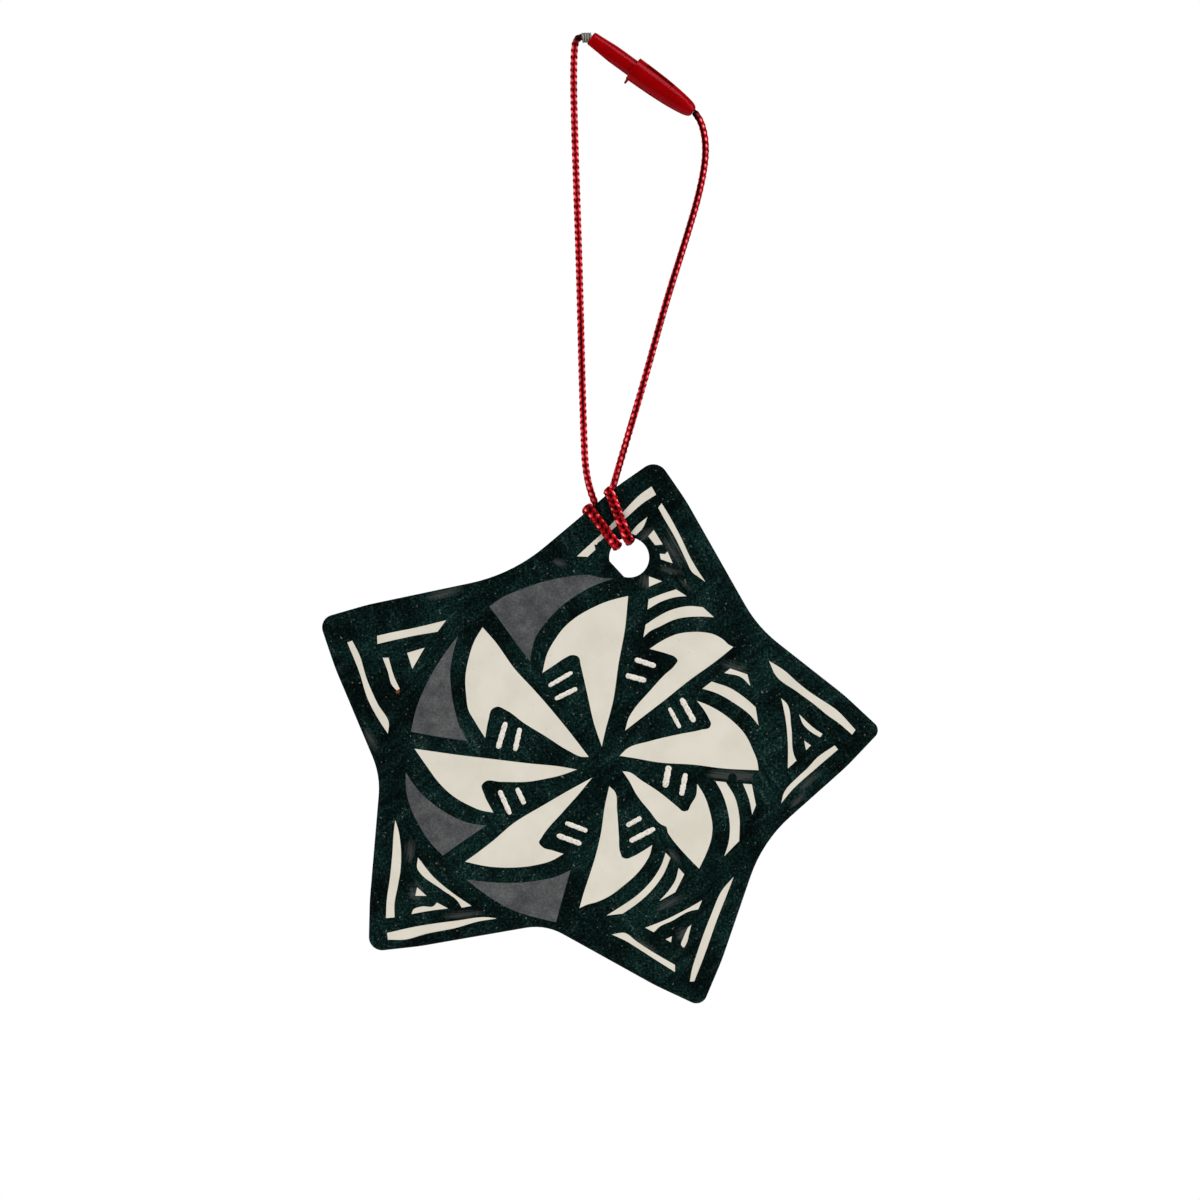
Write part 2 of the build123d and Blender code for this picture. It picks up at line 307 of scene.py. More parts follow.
def rollAlong(reach, line, across, beside, look):
    # at each named place, the angle of the viewer's side in the least-turn frame plus the wanted turn;
    # this, the joining and the slant are evened out between the places
    places, turns, seams, slants = zip(*look["facing"])
    at = [nearestPoint(line, place) for place in places]
    seen = np.unwrap(np.arctan2(-beside[at, 1], -across[at, 1]))
    return [np.interp(reach, reach[at], values) for values in (seen + np.radians(turns), seams, slants)]


def braidRings(reach, line, look):
    # tape i of n winds at angle +-(w*s - dwell*sin(n*w*s)/n) + i/n of a turn, slower where it is on top;
    # its radius rises and falls with cos(n*w*s), so the two sets weave;
    # the rows then lean along the cord by slant
    ahead, across, beside = leastTurnFrames(line)
    roll, seam, slant = rollAlong(reach, line, across, beside, look)
    phase = look["tapes"] * 2 * np.pi / look["turn"] * reach
    hand = np.repeat((1.0, -1.0), look["tapes"])[:, None]
    first = np.tile(np.arange(look["tapes"]) * 2 * np.pi / look["tapes"], 2)[:, None]
    angle = (hand * phase - look["dwell"] * np.sin(phase)) / look["tapes"] + first + roll
    lift = hand * np.cos(phase)
    radius = look["middle"] + look["swing"] * lift
    outward = np.cos(angle)[..., None] * across + np.sin(angle)[..., None] * beside
    middle = line + radius[..., None] * outward
    along = np.gradient(middle, axis=1)
    along /= np.linalg.norm(along, axis=2)[..., None]
    sideways = np.cross(along, outward)
    sideways /= np.linalg.norm(sideways, axis=2)[..., None]
    up = np.cross(sideways, along)
    around = np.linspace(0, 2 * np.pi, look["profile"], endpoint=False)
    kinds = [look["dark"]] * look["tapes"] + [look["bright"]] * look["tapes"]
    wide = np.array([kind["halfWidth"] for kind in kinds])[:, None] * np.cos(around)
    thick = np.array([kind["halfThick"] for kind in kinds])[:, None] * np.sin(around)
    thick = thick - wide**2 / (2 * look["middle"])  # bent round the cord
    tapes = middle[:, :, None] + wide[:, None, :, None] * sideways[:, :, None]
    tapes = tapes + thick[:, None, :, None] * up[:, :, None]
    away = tapes - line[:, None]
    beyond = np.arctan2((away * beside[:, None]).sum(-1), (away * across[:, None]).sum(-1)) - roll[:, None]
    # picks the tapes that face the viewer, where the dark diamonds and seam are painted shade
    front = np.abs(np.cos(beyond))  # 1 on the side of dark diamonds and on the one behind it
    seamed, diamond = [
        np.clip((front - low) / (high - low), 0, 1) for low, high in (look["seam"], look["diamond"])
    ]
    # the value made here drives colour: a painted highlight on the long, slim top of each bright tape;
    # painted shade where dark tapes face the viewer and where the diamonds join
    ridge = (0.5 + 0.5 * lift[..., None])**look["lengthen"] * (1 - look["narrow"] * np.cos(around)**2)
    paintedLight = np.where(hand[..., None] > 0, 1 - diamond, ridge) * (1 - seam[:, None] * seamed)
    sideOn = np.cross(ahead, (0.0, -1.0, 0.0))[:, None]  # across the cord as the viewer sees it
    tapes += (slant[:, None] * (away * sideOn).sum(-1))[..., None] * ahead[:, None]
    around = np.linspace(0, 2 * np.pi, look["coreSides"], endpoint=False)[:, None]
    spoke = np.cos(around) * across[:, None] + np.sin(around) * beside[:, None]
    core = line[:, None] + look["core"] * spoke
    # the core's colour: red where the diamonds don't join, near black as painted shade where they do
    heart = np.repeat(1 - seam[:, None], look["coreSides"], axis=1)  # red where the diamonds don't join
    return tapes, core, paintedLight, heart


def spreadHitch(reach, line, tapes, core, look, v, span):
    # round the clay the braid flattens: its section widens along the star's edge, slants a little
    # and thins towards the clay, easing in and out at both ends of the span
    ahead = np.gradient(line, axis=0)
    ahead /= np.linalg.norm(ahead, axis=1)[:, None]
    edge = np.array((v["edgeAlong"][0], 0, v["edgeAlong"][1]))
    wide = edge - (ahead @ edge)[:, None] * ahead
    wide /= np.maximum(np.linalg.norm(wide, axis=1), look["leastAcross"])[:, None]
    deep = np.cross(ahead, wide)
    low, high = span
    near, far = look["clayDepth"]
    inside = np.clip((reach - low) / look["ease"], 0, 1) * np.clip((high - reach) / look["ease"], 0, 1)
    onClay = (np.clip((far - line[:, 1]) / (far - near), 0, 1) * inside)[:, None, None]
    pushes = ((wide, look["spread"] * wide + look["skew"] * ahead), (deep, -look["press"] * deep))
    for rings, middle in ((tapes, line[None, :, None]), (core, line[:, None])):
        away = rings - middle
        for off, push in pushes:
            rings += onClay * (away * off[:, None]).sum(-1)[..., None] * push[:, None]


def cordPiece(name, tubes, reach, low, high, materials):
    # one stretch of the braid: each tape and the core is a capped tube through its own rings
    rows = slice(low, high + 1)
    verts, faces, slots, lengths, heights = [], [], [], [], []
    count = 0
    for rings, height, slot in tubes:
        rings = rings[rows]
        n, sides = rings.shape[:2]
        tube = gridFaces(n, sides, count) + endCaps(n, sides, count)
        faces += tube
        slots += [slot] * len(tube)
        verts.append(rings.reshape(-1, 3))
        lengths.append(np.repeat(reach[rows], sides))
        heights.append(height[rows].ravel())
        count += n * sides
    piece = putMesh(name, np.concatenate(verts), faces, materials, slots)
    putValues(piece, "run", np.concatenate(lengths))  # millimetres from the plug along the cord
    # the value stored here: 1 is bright red with a painted highlight on top, 0 is near black painted shade
    putValues(piece, "paintedLight", np.concatenate(heights))  # 1 where a tape lies bright on top, 0 where dark
    return piece


def foilTape(name, total, kind):
    # red where a tape lies on top, pink-white at its top as a painted highlight and near black low down as
    # painted shade;
    # dimmed at random in patches, so that the painted highlights vary, and dark where the cord goes into the
    # lock;
    # the hitch's patches are stronger painted shade, so that only some of its tapes catch the light
    material, tree, shader, place = startMaterial(
        name, Metallic=kind["metal"], Roughness=0.3, Specular_IOR_Level=0.05,
    )
    red = addRamp(tree, addAttribute(tree, "paintedLight"), *kind["tones"])
    share = addMath(tree, "DIVIDE", addAttribute(tree, "run"), float(total))
    # random dimming in patches, which varies the painted highlights
    randomDimming = addRamp(tree, addNoise(tree, place, 1.6, 2.0), (0.38, (0.48, 0.36, 0.36)), (0.54, (1, 1, 1)))
    # stronger patches at the hitch: painted shade over most tapes, leaving some bright
    hitchPaintedShade = addNoise(tree, place, 1.15, 1.0)
    hitchPaintedShade = addRamp(tree, hitchPaintedShade, (0.45, (0.34, 0.06, 0.08)), (0.57, (1.0, 0.95, 0.95)))
    hitch = addRamp(
        tree, share, (0.35, (0, 0, 0)), (0.37, (1, 1, 1)), (0.69, (1, 1, 1)), (0.71, (0, 0, 0)),
    )
    ends = addRamp(
        tree, share, (0.0, (0.02, 0.0, 0.01)), (0.011, (0.04, 0.02, 0.02)), (0.019, (1, 1, 1)),
        (0.991, (1, 1, 1)), (0.997, (0.05, 0.02, 0.02)),
    )
    shaded = addMix(tree, 1.0, red, addMix(tree, hitch, randomDimming, hitchPaintedShade), "MULTIPLY")
    tree.links.new(addMix(tree, 1.0, shaded, ends, "MULTIPLY"), shader.inputs["Base Color"])
    addBump(tree, shader, addNoise(tree, place, 9.0, 2.0), 0.25, 0.03)
    return material


def braidCore():
    material, tree, shader, place = startMaterial("braidCore", Roughness=0.8, Specular_IOR_Level=0.1)
    # red where the diamonds don't join, near black as painted shade where they do; dimmed at random
    heart = addAttribute(tree, "paintedLight")
    red = addRamp(tree, heart, (0.25, (0.08, 0.0, 0.003)), (1.0, (0.75, 0.004, 0.016)))
    randomDimming = addRamp(tree, addNoise(tree, place, 5.0), (0.3, (0.6, 0.6, 0.6)), (0.7, (1, 1, 1)))
    tree.links.new(addMix(tree, 1.0, red, randomDimming, "MULTIPLY"), shader.inputs["Base Color"])
    return material


def makeCord(v, look):
    reach, line = readRoute(v)
    tapes, core, paintedLight, heart = braidRings(reach, line, look)
    at = {name: nearestPoint(line, place) for name, place in v["cuts"].items()}
    spreadHitch(reach, line, tapes, core, look, v, (reach[at["leftHitchTop"]], reach[at["rightHitchTop"]]))
    last = len(line) - 1
    upper = int(np.searchsorted(reach, reach[-1] - v["upperRight"]))
    bright, dark = [foilTape(kind + "Foil", reach[-1], look[kind]) for kind in ("bright", "dark")]
    slots = np.repeat((1, 0), look["tapes"]).tolist()  # dark tapes come first
    tubes = list(zip(tapes, paintedLight, slots)) + [(core, heart, 2)]
    materials = [bright, dark, braidCore()]

    def piece(name, low, high):
        return cordPiece(name, tubes, reach, low, high, materials)

    leftStrand = piece("leftStrand", 0, at["leftNeckTop"])
    leftNeck = piece("leftNeck", at["leftNeckTop"], at["leftHitchTop"])
    hitch = piece("hitch", at["leftHitchTop"], at["rightHitchTop"])
    rightNeck = piece("rightNeck", at["rightHitchTop"], at["rightNeckTop"])
    rightLower = piece("rightStrandLower", at["rightNeckTop"], upper)
    rightUpper = piece("rightStrandUpper", upper, last)
    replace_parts(leftStrand, "cord_left_strand")
    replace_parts(leftNeck, "cord_neck")
    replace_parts(hitch, "cord_hitch")
    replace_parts(rightLower, "cord_right_strand")

    def bend(obj):
        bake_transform(obj)

    bend(leftStrand)
    bend(leftNeck)
    bend(rightNeck)
    bend(rightLower)
    bend(rightUpper)
    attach(hitch, "star")

    def hangOn(plug, sleeve, socket):  # takes the plug, sleeve and socket and does nothing with them
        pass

    print("cord made,", round(reach[-1], 1), "mm in all")
    return reach, line, hangOn


cordReach, cordLine, hangOnCord = makeCord(cordRoute, braidLook)


# painted face of the star, in millimetres right of and above the wheel's hub;
# a third number marks a sharp corner

faceView = dict(hub=(3.0, -97.0), face=-2.5, sink=0.03, spacing=0.14)
blades = dict(
    rise=0.035,
    top=[
        (-0.4, 2.6, 1), (0.1, 4.8), (1.1, 8.6), (1.9, 14), (2.7, 18.3), (3.15, 22.85, 1), (2, 22.6),
        (0, 22), (-2, 21.1), (-4, 19.9), (-5.4, 18.7), (-6.7, 17), (-7.7, 15.2), (-8.4, 12.5, 1),
        (-6.8, 13.55), (-5.2, 14.6), (-4.6, 14.88), (-3.8, 14.82), (-3.5, 14.6), (-3.25, 13.6), (-2.2, 9),
        (-1.5, 5.9),
    ],
    upperRight=[
        (2.75, 4.75, 1), (5, 6.5), (8, 8.8), (11.5, 11.6), (14.3, 13.6), (16, 14.9), (17.3, 16, 1),
        (16.7, 16.3), (16, 16.95), (14.5, 17.75), (13, 18), (11.5, 18), (9.8, 17.75), (7.4, 16.65),
        (6.05, 15.75, 1), (8.6, 15.02), (9.4, 14.7), (9.8, 14.2), (9.4, 13.5), (8, 12.2), (6, 10), (4, 7.7),
        (3.25, 6.5),
    ],
    right=[
        (2, 1.35, 1), (4.2, 1), (7, 0.5), (12, 0.15), (16, -0.35), (20.7, -0.6, 1), (20.5, 0.7), (20, 2),
        (18.9, 4.2), (17, 6.2), (15, 7.6), (13.6, 8.3), (12.4, 8.75, 1), (13.2, 7.75), (14, 6.4),
        (14.3, 5.6), (14.15, 5.2), (13, 4.85), (10, 4.25), (6, 3.3), (3, 2.3),
    ],
    lowerRight=[
        (2.4, -0.75, 1), (3.1, -0.8), (5, -2), (7, -3.3), (9.9, -5.6), (10.5, -6.1), (11.1, -6.05),
        (11.6, -5.2), (12.25, -4.1), (12.45, -2.45, 1), (13.3, -3.8), (14.1, -6), (14.5, -8.3), (14.3, -10),
        (13.75, -11.6), (12.7, -13.85, 1), (11, -12.1), (9, -9.75), (8.5, -9), (8.25, -8.2), (7.7, -7.95),
        (6, -6.05), (4.3, -3.9), (3.2, -1.9),
    ],
    bottom=[
        (0.6, -2.75, 1), (0, -5.5), (-0.5, -9), (-1.2, -12), (-2.2, -15.2), (-2.8, -17), (-3.4, -19.15, 1),
        (-2.4, -18.7), (-1, -18.3), (0.6, -17.55), (2.5, -16.15), (4, -14.85), (5.2, -13.45), (6.05, -12),
        (6.4, -10.65, 1), (5, -11.55), (3.7, -12.25), (3, -12.5), (2.4, -12.35), (2.1, -11.7), (1.9, -9.4),
        (1.65, -6), (1.3, -3.4),
    ],
    lowerLeft=[
        (-1.7, -1.6, 1), (-3.5, -3.8), (-5.5, -6.05), (-8.5, -9.65), (-8.85, -10.3), (-8.35, -10.95),
        (-7, -11.4), (-5.55, -11.85, 1), (-7, -12.7), (-9.5, -13.4), (-13, -13.7), (-16, -13.5),
        (-18.8, -12.9, 1), (-17, -11.6), (-15, -10.05), (-12.5, -7.9), (-8, -5.15), (-5, -3.4),
    ],
    left=[
        (-3.75, -0.5, 1), (-6, -1.3), (-8, -1.75), (-10, -2.1), (-14, -2.15), (-16.1, -2.12),
        (-16.55, -2.6), (-16.25, -3.8), (-15, -6.3, 1), (-16.6, -6), (-18.5, -5.2), (-20.5, -4),
        (-22.3, -2.3), (-24, 0), (-25.6, 2.3, 1), (-20, 1.5), (-15, 0.9), (-10, 0.3), (-6, -0.1),
    ],
    upperLeft=[
        (-2.15, 1.2, 1), (-3, 1.2), (-5, 2.1), (-8, 4), (-11, 5.85), (-13.1, 7.4), (-14.6, 7.95),
        (-15.2, 7.6), (-15.65, 6.2), (-16.1, 3.75, 1), (-17.5, 6), (-18.3, 7.4), (-18.65, 9.5),
        (-18.75, 12), (-18.3, 14.5), (-17.5, 16.9), (-16.45, 18.65, 1), (-14.9, 16.9), (-12, 12.9),
        (-9.4, 10.1), (-5, 4.9),
    ],
)
stripes = dict(
    rise=0.035,
    behindUpperRight=[
        (5.2, 17.3, 1), (5.5, 19, 1), (7, 20), (9, 21), (11.5, 21.5), (13.2, 21.35, 1), (14.7, 20, 1),
        (13, 20.1), (9.3, 19.65), (7.5, 18.8), (6, 18.05),
    ],
    aboveThat=[
        (5.75, 21.05, 1), (5.9, 22.4, 1), (7.6, 23.1), (9.6, 23.75, 1), (11, 22.85, 1), (9.5, 22.7),
        (7.6, 22.1),
    ],
    besideHole=[(5.95, 25.5, 1), (7.7, 24.85, 1), (5.95, 24.1, 1)],
    behindRight=[
        (13.15, 10.4, 1), (14.4, 11.35, 1), (17, 10.4), (18.8, 9.2), (20.3, 7.9, 1), (20.7, 5.45, 1),
        (19.6, 6.8), (17.5, 8.4), (15, 9.8),
    ],
    aboveRight=[(16.1, 12.5, 1), (16.9, 13.1, 1), (19.2, 12.3, 1), (19.6, 10.75, 1), (18.4, 11.9)],
    behindLowerRight=[
        (14.9, -2.05, 1), (16.3, -2.2, 1), (17.5, -4.2), (18.1, -6.7), (18.1, -10.1, 1), (16.1, -12.15, 1),
        (16.65, -10.4), (16.85, -8.2), (16.5, -5.8), (15.8, -3.7),
    ],
    besideLowerRight=[(18.6, -2.4, 1), (19.8, -2.5, 1), (20.35, -5.3, 1), (19.85, -6.55, 1), (19.45, -4.6)],
    behindBottom=[
        (8.2, -11.7, 1), (8.85, -12.4, 1), (7.9, -14.6), (6, -17.1), (3.6, -19.1), (2.4, -19.9, 1),
        (0.25, -20.15, 1), (2, -19.05), (4.5, -17.3), (6.5, -15.2), (7.6, -13.4),
    ],
    besideBottom=[
        (9.95, -13.75, 1), (10.7, -14.6, 1), (9.5, -17, 1), (7.35, -18.2, 1), (8.6, -16.8), (9.5, -15.4),
    ],
)
pointLines = dict(
    rise=0.035,
    topLeft=[
        (-3.75, 28.2, 1), (-1.9, 29.9), (-0.3, 31.35), (2.3, 34), (5, 36.7), (6.3, 37.6, 1), (6.9, 36.5, 1),
        (5.2, 35.4), (2.8, 33.3), (0.1, 30.95), (-0.5, 30.35), (-0.93, 30.07, 1), (-1.05, 29.78, 1),
        (-1.42, 29.78, 1), (-1.26, 29.1, 1), (-2.3, 28.13, 1),
    ],
    topInner=[(3.45, 31.3, 1), (4.4, 32.4), (5.75, 33.5, 1), (5.1, 32), (4.2, 31.05, 1)],
    topRight=[
        (7.2, 34.75, 1), (7.65, 35.35, 1), (8.55, 33.9), (10.15, 30.95), (11.75, 27.6), (12.5, 26.35),
        (13.55, 24.75, 1), (12.65, 25.4), (11.75, 26.1), (11.05, 27.45), (10.3, 29.05), (9.35, 30.95),
        (7.9, 33.45),
    ],
    topPatch=[(5.85, 30.9, 1), (6.6, 31.75, 1), (7.8, 29.8, 1), (6.8, 29.7, 1)],
    topPatchLow=[(7.4, 28.55, 1), (8.1, 28.5, 1), (8.45, 28.85, 1), (9.15, 27.25, 1), (7.55, 27.8, 1)],
    rightUpper=[
        (22.1, 14.15, 1), (24.2, 12.8), (26, 11.2), (27.5, 10), (29, 9), (31.1, 7.6), (33.75, 4.85, 1),
        (33.3, 4.2, 1), (31.3, 5.9), (30, 6.8), (28.3, 8.2), (26, 9.9), (23, 12.2),
    ],
    rightLower=[
        (30.95, 2.75, 1), (31.4, 2.2, 1), (28.6, -0.2), (25, -3.5), (23.75, -5.05, 1), (24.1, -3.7),
        (26, -1.5), (27.2, -0.4), (28.6, 1.1),
    ],
    rightInner=[
        (23.75, 9.1, 1), (24.4, 8.5), (25.1, 5.2), (25.5, 1.4), (25.8, 0.7, 1), (24.65, -0.35, 1),
        (24.65, 3), (24.45, 5.5), (24.1, 7.6),
    ],
    rightShort=[(26.15, 6.95, 1), (28.2, 5.05), (29.3, 4.3, 1), (29, 3.85, 1), (28, 4.4), (26.7, 5.6)],
    rightSeed=[(26.85, 3.4, 1), (27.75, 2.75, 1), (27.1, 2.1, 1)],
    bottomRight=[
        (17.35, -14.95, 1), (16.8, -16.4), (15, -21), (13.6, -25), (12.05, -29, 1), (11.45, -29.05, 1),
        (11.7, -27.6), (12.5, -25), (14.3, -20.1), (15.9, -16.6),
    ],
    bottomLeft=[
        (0.95, -22.7, 1), (2.7, -22.5), (4.3, -23.65), (6.45, -25.05), (9.45, -26.8, 1), (9.45, -27.75, 1),
        (7.15, -26.3), (4.65, -24.7), (2.9, -23.6),
    ],
    bottomInner=[
        (5.45, -21.8, 1), (8, -20.8), (11, -19.3), (13.1, -18.1, 1), (12.6, -19.3, 1), (11.5, -19.55),
        (9, -20.9), (7.4, -21.65), (6.6, -22.4, 1),
    ],
    bottomShort=[
        (11.2, -21.75, 1), (11.65, -21.4, 1), (11.35, -22.6), (11, -23.9), (10.6, -24.45), (10.3, -24.15),
        (10.55, -23.2), (10.85, -22.5),
    ],
    bottomSeed=[(8.2, -23.35, 1), (9.05, -22.95, 1), (8.9, -23.75, 1)],
    lowLeftUpright=[
        (-28.2, -7.3, 1), (-27.8, -8.6), (-27.5, -10.5), (-27.5, -14), (-27.9, -16.4), (-28.3, -18.5),
        (-28.3, -20.4, 1), (-29.45, -20.5, 1), (-29.35, -18.2), (-28.9, -15), (-28.6, -12), (-28.4, -9),
    ],
    lowLeftBase=[
        (-29.3, -22.5, 1), (-26, -21.75), (-20, -20.85), (-15.6, -20.4), (-14.55, -20.55, 1), (-17, -20.95),
        (-20, -21.8), (-24, -22.6), (-27, -23.4), (-29.2, -23.4, 1),
    ],
    lowLeftSlant=[
        (-25.15, -12.35, 1), (-23, -15), (-20.5, -17.1), (-17.95, -18.85, 1), (-19.25, -19.1, 1),
        (-19.7, -18.35), (-22, -16.6), (-24.9, -14.35), (-25.2, -13.9),
    ],
    lowLeftShort=[
        (-26, -19.95, 1), (-25.8, -19.4), (-24.7, -18.95), (-23, -18.85), (-22.6, -18.4, 1),
        (-21.1, -19.2, 1), (-23.5, -19.5),
    ],
    lowLeftSeed=[(-25.25, -16.35, 1), (-24, -17.5, 1), (-25.5, -17.5, 1)],
    upLeftTop=[
        (-30.65, 17.5, 1), (-28.9, 17.9), (-25.45, 18.6), (-21.35, 19.6, 1), (-22.5, 18.05, 1),
        (-25.45, 17.55), (-28.7, 16.85), (-30.6, 16.4, 1),
    ],
    upLeftSide=[
        (-34.65, 16.6, 1), (-34, 16.85, 1), (-33.1, 15.1), (-32, 11.6), (-30.6, 8.4), (-29.05, 5.6),
        (-29.2, 4.35, 1), (-30.3, 6), (-31.9, 9), (-33, 12.5),
    ],
    upLeftSeed=[(-26.6, 15.2, 1), (-24.25, 15.9, 1), (-25.9, 13.05, 1)],
    upLeftShort=[
        (-29.9, 14.55, 1), (-29.1, 14.55, 1), (-28.35, 12), (-27.6, 10.35, 1), (-28, 10.15, 1),
        (-28.6, 10.8), (-29.2, 12.7),
    ],
)
greyPanels = dict(
    rise=0.03,
    aboveTop=[
        (-15.55, 21.45, 1), (-14, 22.55), (-11, 23.85), (-8, 24.85), (-5, 25.45), (-2.5, 25.72),
        (-0.3, 25.3), (1.2, 25.2, 1), (-1, 24.45), (-3.2, 23.35), (-5.5, 21.75), (-8, 19.2), (-9.3, 17.3),
        (-10.1, 14.1, 1), (-12, 16.6), (-14, 19.4),
    ],
    leftHigh=[
        (-19.75, 17.5, 1), (-21.5, 15.2), (-24, 11), (-25.4, 7.6), (-26.1, 4.6, 1), (-22, 3.85),
        (-18.5, 3.35, 1), (-19.5, 5.2), (-20.2, 7.6), (-20.7, 10.5), (-20.8, 12.6), (-20.35, 15.4),
    ],
    leftLow=[
        (-26.8, -0.9, 1), (-26, -2.1), (-25, -3.4), (-23, -5.2), (-20.5, -6.8), (-18, -7.75),
        (-16, -8.05, 1), (-19, -10.1), (-21.8, -12.1, 1), (-23.5, -10.3), (-25, -8), (-26, -6),
        (-26.7, -3.5),
    ],
    under=[
        (-18.65, -15.3, 1), (-15.5, -15.65), (-12.5, -15.75), (-9, -15.45), (-6.5, -14.9),
        (-4.6, -14.05, 1), (-5.6, -17.5), (-6.55, -21.05, 1), (-9, -20.5), (-12.2, -19.5), (-15, -18),
        (-17, -16.6),
    ],
)
dashes = dict(
    rise=0.09, grain=0.07, lump=0.25, rows=28, columns=11,
    strokes=[  # both ends and the width
        (-7.6, 10.7, -4.3, 12.65, 0.61), (-6.75, 8.95, -3.7, 10.45, 0.67), (4, 14.35, 6.9, 13.4, 0.73),
        (2.8, 12.2, 5.6, 11.45, 0.76), (8.65, 7.85, 10.15, 5.05, 0.59), (10.25, 9.15, 12.1, 5.85, 0.79),
        (8.65, 0.05, 8.1, -2.95, 0.88), (10.9, -0.95, 10.3, -4.05, 0.76), (2.9, -8.1, 4.95, -6.95, 0.67),
        (3.3, -10.2, 6.8, -8.4, 0.73), (-5.35, -7.65, -2.3, -8.8, 0.67), (-6.5, -9.3, -3.1, -10.55, 0.73),
        (-14.2, -3.25, -12.7, -6.6, 0.71), (-11.85, -2.95, -10.8, -5.2, 0.71),
        (-13.3, 5.95, -14.4, 2.25, 0.76), (-11.4, 5.15, -12.1, 1.95, 0.71),
    ],
)


def smoothOutline(points, spacing):
    # a cubic from each point to the next;
    # a soft point's slope is the mean of its two chords, and a corner keeps both
    flat = np.array([p[:2] for p in points], float)
    corner = np.array([len(p) > 2 for p in points])[:, None]
    chord = np.roll(flat, -1, 0) - flat
    size = np.linalg.norm(chord, axis=1)[:, None]
    after = chord / size
    before, sizeBefore = np.roll(after, 1, 0), np.roll(size, 1, 0)
    mean = (size * before + sizeBefore * after) / (size + sizeBefore)
    leave, arrive = np.where(corner, after, mean), np.where(corner, before, mean)
    count = np.maximum(np.ceil(size[:, 0] / spacing).astype(int), 1)
    i = np.repeat(np.arange(len(flat)), count)
    j = (i + 1) % len(flat)
    t = ((np.arange(len(i)) - np.repeat(np.cumsum(count) - count, count)) / count[i])[:, None]
    return (
        (2 * t**3 - 3 * t**2 + 1) * flat[i] + (t**3 - 2 * t**2 + t) * size[i] * leave[i]
        + (3 * t**2 - 2 * t**3) * flat[j] + (t**3 - t**2) * size[i] * arrive[j]
    )


def paintPatches(name, groups, view, material):
    # each outline is carried up out of the clay by its paint's thickness, and closed flat at both ends
    verts, faces = [], []
    count = 0
    for group in groups:
        for key, outline in group.items():
            if key == "rise":
                continue
            edge = smoothOutline(outline, view["spacing"])
            x, z = edge[:, 0], edge[:, 1]
            if (x * np.roll(z, -1) - np.roll(x, -1) * z).sum() < 0:
                edge = edge[::-1]
            n = len(edge)
            depth = np.repeat((view["face"] + view["sink"], view["face"] - group["rise"]), n)
            flat = np.tile(edge + view["hub"], (2, 1))
            verts.append(np.column_stack((flat[:, 0], depth, flat[:, 1])))
            faces += gridFaces(2, n, count) + endCaps(2, n, count)
            count += 2 * n
    piece = putMesh(name, np.concatenate(verts), faces, [material], smooth=False)
    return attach(piece, "star")


def dashRidges(name, v, view, material):
    # a low round ridge: height falls as sqrt(1 - across^2) and closes at both ends;
    # its width and height waver along it, in sine waves that start elsewhere for each dash
    u = np.linspace(0, 1, v["rows"])[:, None]
    a = np.linspace(-1, 1, v["columns"])[None, :]
    end = np.clip(1 - np.abs(2 * u - 1) ** 9, 0, 1) ** 0.5
    verts, faces = [], []
    for number, (x0, z0, x1, z1, width) in enumerate(v["strokes"]):
        start, run = np.array((x0, z0)), np.array((x1 - x0, z1 - z0))
        side = np.array((-run[1], run[0])) / np.linalg.norm(run)
        waves = np.sin(19 * u + 2.1 * number) + np.sin(43 * u + 1.3 * number + a)
        half = width / 2 * (1 + v["grain"] * waves) * end
        flat = start + u[..., None] * run + (half * a)[..., None] * side + np.array(view["hub"])
        lumps = 1 + v["lump"] * np.sin(31 * u + 5 * a + number)
        rise = v["rise"] * np.sqrt(np.clip(1 - a**2, 0, 1)) * end * lumps
        depth = view["face"] + view["sink"] - rise - view["sink"] * end * (np.abs(a) < 1)
        faces += gridFaces(v["rows"], v["columns"], number * depth.size, ring=False)
        verts.append(np.stack((flat[..., 0], depth, flat[..., 1]), -1).reshape(-1, 3))
    piece = putMesh(name, np.concatenate(verts), faces, [material])
    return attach(piece, "star")


def creamSlip():
    material, tree, shader, place = startMaterial("creamSlip", Roughness=0.55, Specular_IOR_Level=0.25)
    broad = addNoise(tree, place, 0.25)
    broad = addRamp(tree, broad, (0.35, (0.70, 0.655, 0.555)), (0.65, (0.755, 0.71, 0.61)))
    specks = addRamp(tree, addNoise(tree, place, 2.2, 2.0), (0.70, (1, 1, 1)), (0.78, (0.86, 0.82, 0.74)))
    tree.links.new(addMix(tree, 1.0, broad, specks, "MULTIPLY"), shader.inputs["Base Color"])
    addBump(tree, shader, addNoise(tree, place, 1.8, 4.0), 0.15, 0.03)
    return material


def greySlip():
    material, tree, shader, place = startMaterial("greySlip", Roughness=0.6, Specular_IOR_Level=0.2)
    cloud = addNoise(tree, place, 0.5, 4.0)
    cloud = addRamp(tree, cloud, (0.3, (0.05, 0.053, 0.055)), (0.7, (0.112, 0.116, 0.116)))
    grain = addNoise(tree, place, 4.5, 2.0)
    grain = addRamp(tree, grain, (0.35, (0.72, 0.72, 0.74)), (0.7, (1.25, 1.25, 1.23)))
    tree.links.new(addMix(tree, 1.0, cloud, grain, "MULTIPLY"), shader.inputs["Base Color"])
    addBump(tree, shader, addNoise(tree, place, 3.0, 4.0), 0.2, 0.03)
    return material


def chalkDash():
    material, tree, shader, place = startMaterial("chalkDash", Roughness=0.7, Specular_IOR_Level=0.2)
    pits = addRamp(
        tree, addNoise(tree, place, 3.2, 3.0), (0.3, (0.52, 0.44, 0.36)), (0.45, (0.78, 0.73, 0.65)),
        (0.7, (0.84, 0.80, 0.73)),
    )
    tree.links.new(pits, shader.inputs["Base Color"])
    addBump(tree, shader, addNoise(tree, place, 5.0, 4.0), 0.4, 0.05)
    return material


